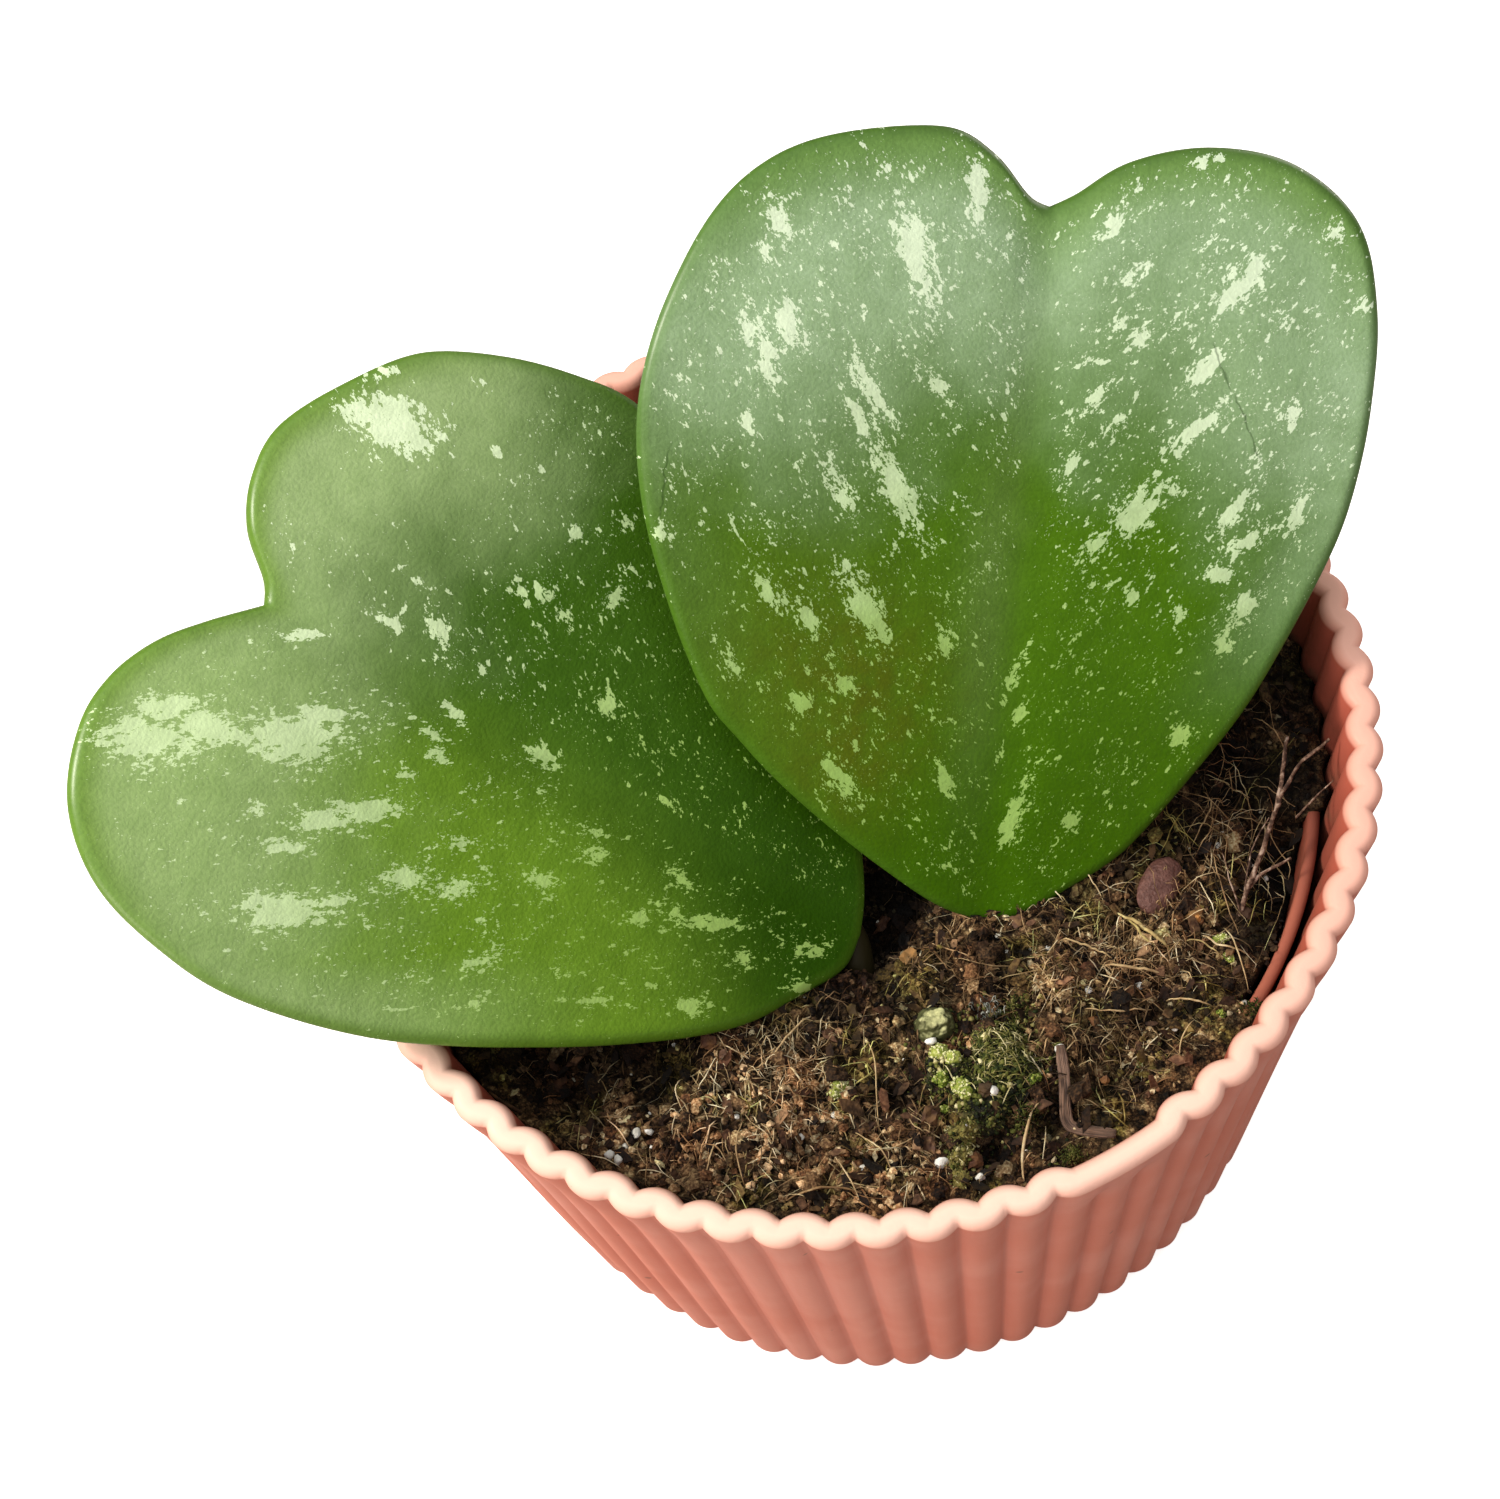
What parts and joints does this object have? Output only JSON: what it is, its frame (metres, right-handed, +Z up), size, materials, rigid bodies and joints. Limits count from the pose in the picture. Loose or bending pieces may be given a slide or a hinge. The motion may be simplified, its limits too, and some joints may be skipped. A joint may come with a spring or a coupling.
{
  "type": "potted heart-leaf hoya",
  "caption": "Sweetheart hoya with heart-shaped, mint-flecked leaves rooted in soil, in a smooth liner inside a fluted pink plastic pot.",
  "frame": {"origin": "centre of the pot's flat underside", "axes": "+Z up along the pot's axis; -Y towards the front, where the soil shows; the leaves rise towards +Y and -X"},
  "size_m": [0.1384, 0.1186, 0.1217],
  "materials": {
    "pot_plastic": "soft pink moulded plastic, satin, flutes inside and out",
    "liner_plastic": "deeper terracotta-pink moulded plastic, smooth, satin",
    "soil": "coarse brown coir and peat with fibres, matt",
    "leaf": "thick waxy leaf, green with a grey-green sheen and pale mint flecks",
    "bark": "purple-brown bark, matt",
    "root": "dry brown root, matt",
    "wood": "weathered wood with grain, matt",
    "moss": "short green moss and algae on soil, matt",
    "crust": "pale yellow-green crusted lump, matt"
  },
  "bodies": {
    "root": {"fluted_pot": "pot_plastic", "liner_pot": "liner_plastic", "soil": "soil", "leaf_right": "leaf", "leaf_left": "leaf", "bark_chip": "bark", "dry_root": "root", "wood_strip": "wood", "moss_clump": "moss", "crusted_stone": "crust"}
  },
  "joints": []
}
